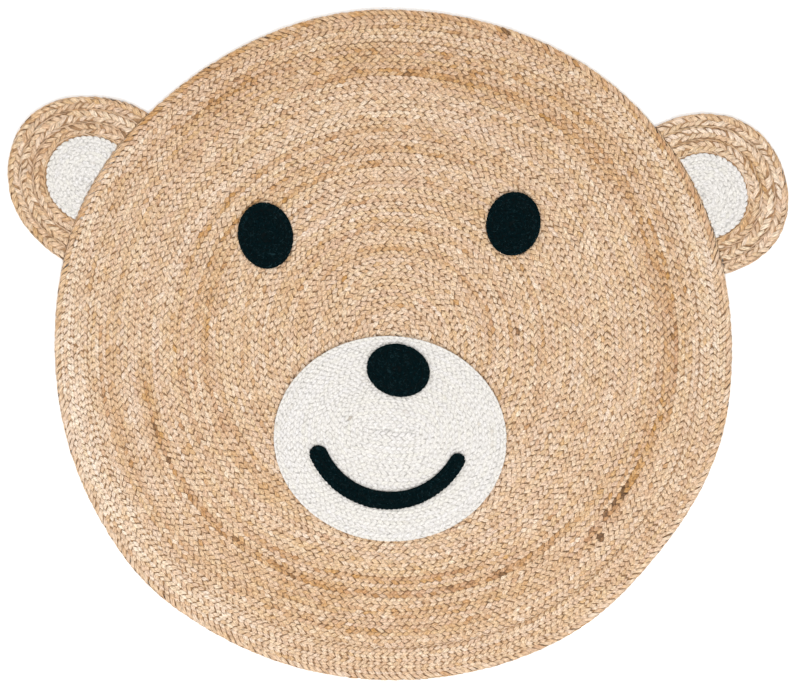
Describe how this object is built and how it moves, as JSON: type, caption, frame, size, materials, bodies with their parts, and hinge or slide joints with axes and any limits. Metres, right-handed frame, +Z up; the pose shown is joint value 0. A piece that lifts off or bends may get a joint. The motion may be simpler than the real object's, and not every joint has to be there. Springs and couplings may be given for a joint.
{
  "type": "braided jute rug",
  "caption": "Flat rug of coiled jute braid in the form of a bear's head, with round ears and a sewn-on muzzle, eyes, nose and smile.",
  "frame": {"origin": "middle of the rug's bounding box, on its underside", "axes": "+X to the right of the bear's head as it is looked at, +Y to its top, +Z up out of the rug's face"},
  "size_m": [1.1552, 0.9912, 0.0188],
  "materials": {
    "jute": "coarse natural jute braid",
    "cotton": "warm white cotton braid",
    "yarn": "black fuzzy yarn"
  },
  "bodies": {
    "root": {"face": "jute", "ear_rim_left": "jute", "ear_rim_right": "jute", "ear_inner_left": "cotton", "ear_inner_right": "cotton", "muzzle": "cotton", "eye_left": "yarn", "eye_right": "yarn", "nose": "yarn", "smile": "yarn"}
  },
  "joints": []
}
